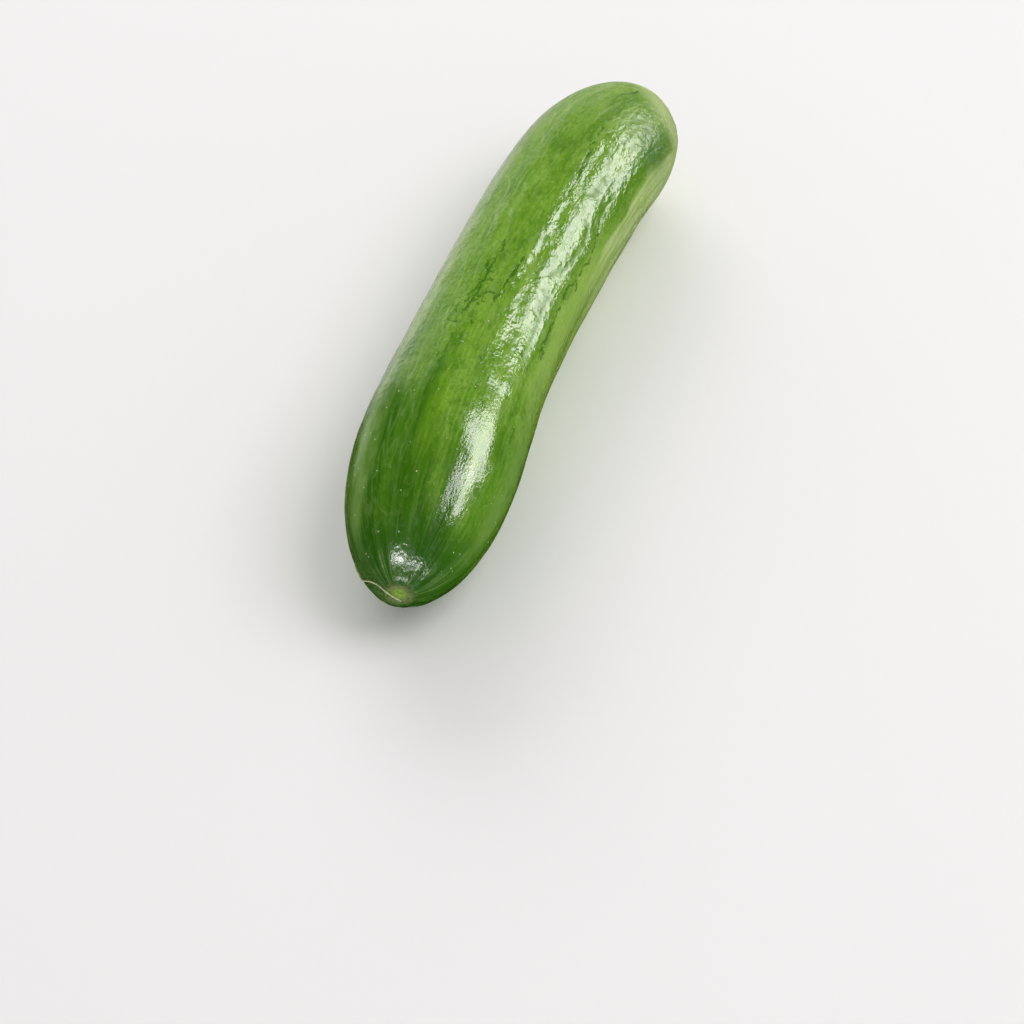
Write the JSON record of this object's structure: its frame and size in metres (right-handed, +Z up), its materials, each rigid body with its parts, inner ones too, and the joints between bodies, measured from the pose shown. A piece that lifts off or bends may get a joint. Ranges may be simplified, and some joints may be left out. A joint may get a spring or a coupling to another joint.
{
  "type": "persian cucumber",
  "caption": "Small slender cucumber with smooth thin skin, gently bent, blunt at both ends, lying on its side.",
  "frame": {"origin": "centre of the outline seen from above, on the table that the cucumber lies on", "axes": "+X along the cucumber from the blossom end to the stem end, +Y to the outside of its bend, +Z up"},
  "size_m": [0.1538, 0.0376, 0.0354],
  "materials": {
    "skin": "smooth, slightly waxy cucumber skin, mid green with darker and paler streaks along it"
  },
  "bodies": {
    "root": {"cucumber": "skin"}
  },
  "joints": []
}
